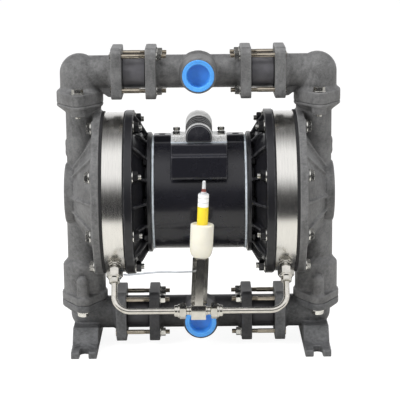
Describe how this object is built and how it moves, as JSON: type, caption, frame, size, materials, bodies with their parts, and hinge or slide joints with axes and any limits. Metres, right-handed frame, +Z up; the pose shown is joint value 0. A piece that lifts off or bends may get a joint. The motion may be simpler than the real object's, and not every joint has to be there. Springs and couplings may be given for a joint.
{
  "type": "air-operated double-diaphragm pump",
  "caption": "Air-driven diaphragm pump: plastic fluid caps and manifolds round a black air motor, steel containment rings drained to a leak sensor in front.",
  "frame": {"origin": "on the floor under the middle of the pump", "axes": "+Z up, -Y to the front with the ports and the leak detector, +X to the right seen from the front"},
  "size_m": [0.481, 0.3174, 0.5171],
  "materials": {
    "body_black": "gloss black painted casting",
    "air_cap_black": "gloss black painted casting",
    "gasket_pale": "pale sheet gasket",
    "stainless": "brushed stainless",
    "fluid_plastic": "satin moulded plastic, mottled",
    "fluid_plastic_dark": "satin moulded plastic, darker batch",
    "spacer_plastic": "smooth turned plastic",
    "rubber": "matt black rubber",
    "zinc": "bright plated steel",
    "zinc_warm": "plated steel, warm tint",
    "dark_steel": "black oxide steel",
    "ball_plastic": "off-white ball plastic",
    "plug_blue": "bright blue plastic",
    "cast_grey": "bead-blasted cast aluminium",
    "aluminium": "machined aluminium",
    "bronze": "bearing bronze",
    "muffler_grey": "light grey porous plastic",
    "holder_milky": "milky natural plastic",
    "sensor_yellow": "bright yellow plastic",
    "band_white": "white printed band, left bare",
    "gland_grey": "pale grey plastic",
    "wire_grey": "pale grey insulated wire"
  },
  "bodies": {
    "pump": {"centre_body": "body_black", "centre_gaskets": "gasket_pale", "air_cap_left": "air_cap_black", "air_cap_right": "air_cap_black", "air_cap_screws": "dark_steel", "containment_ring_left": "stainless", "containment_ring_right": "stainless", "fluid_cap_left": "fluid_plastic", "fluid_cap_right": "fluid_plastic", "fluid_diaphragm_left": "rubber", "fluid_diaphragm_right": "rubber", "air_diaphragm_left": "rubber", "air_diaphragm_right": "rubber", "shaft_bushes": "bronze", "shaft_seals": "rubber", "upper_elbow_left": "fluid_plastic", "upper_elbow_right": "fluid_plastic", "lower_elbow_left": "fluid_plastic_dark", "lower_elbow_right": "fluid_plastic_dark", "discharge_tee": "fluid_plastic", "suction_tee": "fluid_plastic_dark", "discharge_spacers": "spacer_plastic", "suction_spacers": "spacer_plastic", "manifold_seals": "rubber", "tie_bolts": "zinc_warm", "tie_nuts": "zinc", "joint_bolts": "zinc", "joint_nuts": "zinc", "casing_bolts": "zinc", "casing_nuts": "dark_steel", "washers": "zinc", "ball_seats": "ball_plastic", "seat_seals": "rubber", "valve_body": "cast_grey", "valve_gasket": "gasket_pale", "valve_end_cap": "body_black", "valve_screws": "zinc", "muffler": "muffler_grey", "ring_fittings": "stainless", "tube_nuts": "stainless", "drain_tube_left": "stainless", "drain_tube_right": "stainless", "detector_column": "stainless", "sensor_holder": "holder_milky", "sensor": "sensor_yellow", "sensor_band": "band_white", "sensor_gland": "gland_grey", "bonding_wire": "wire_grey"},
    "shaft_group": {"main_shaft": "stainless", "inner_plates": "aluminium", "coupling_plates": "aluminium", "outer_plates": "fluid_plastic_dark"},
    "suction_ball_left": {"suction_ball_left": "ball_plastic"},
    "suction_ball_right": {"suction_ball_right": "ball_plastic"},
    "discharge_ball_left": {"discharge_ball_left": "ball_plastic"},
    "discharge_ball_right": {"discharge_ball_right": "ball_plastic"},
    "spool": {"valve_spool": "aluminium"},
    "pilot": {"pilot_rod": "stainless"},
    "discharge_plug": {"discharge_plug": "plug_blue"},
    "suction_plug": {"suction_plug": "plug_blue"}
  },
  "joints": [
    {"name": "shaft_slide", "type": "slide", "parent": "pump", "child": "shaft_group", "axis": [1, 0, 0], "range_m": [-0.014, 0.014], "deforming": ["air_diaphragm_left", "air_diaphragm_right", "fluid_diaphragm_left", "fluid_diaphragm_right"]},
    {"name": "suction_ball_left_lift", "type": "slide", "parent": "pump", "child": "suction_ball_left", "axis": [0, 0, 1], "range_m": [0, 0.012]},
    {"name": "suction_ball_right_lift", "type": "slide", "parent": "pump", "child": "suction_ball_right", "axis": [0, 0, 1], "range_m": [0, 0.012]},
    {"name": "discharge_ball_left_lift", "type": "slide", "parent": "pump", "child": "discharge_ball_left", "axis": [0, 0, 1], "range_m": [0, 0.012]},
    {"name": "discharge_ball_right_lift", "type": "slide", "parent": "pump", "child": "discharge_ball_right", "axis": [0, 0, 1], "range_m": [0, 0.012]},
    {"name": "spool_shift", "type": "slide", "parent": "pump", "child": "spool", "axis": [0, 1, 0], "range_m": [0, 0.012]},
    {"name": "pilot_shift", "type": "slide", "parent": "pump", "child": "pilot", "axis": [1, 0, 0], "range_m": [-0.004, 0.004]},
    {"name": "discharge_plug_pull", "type": "slide", "parent": "pump", "child": "discharge_plug", "axis": [0, -1, 0], "range_m": [0, 0.03]},
    {"name": "suction_plug_pull", "type": "slide", "parent": "pump", "child": "suction_plug", "axis": [0, -1, 0], "range_m": [0, 0.03]}
  ]
}
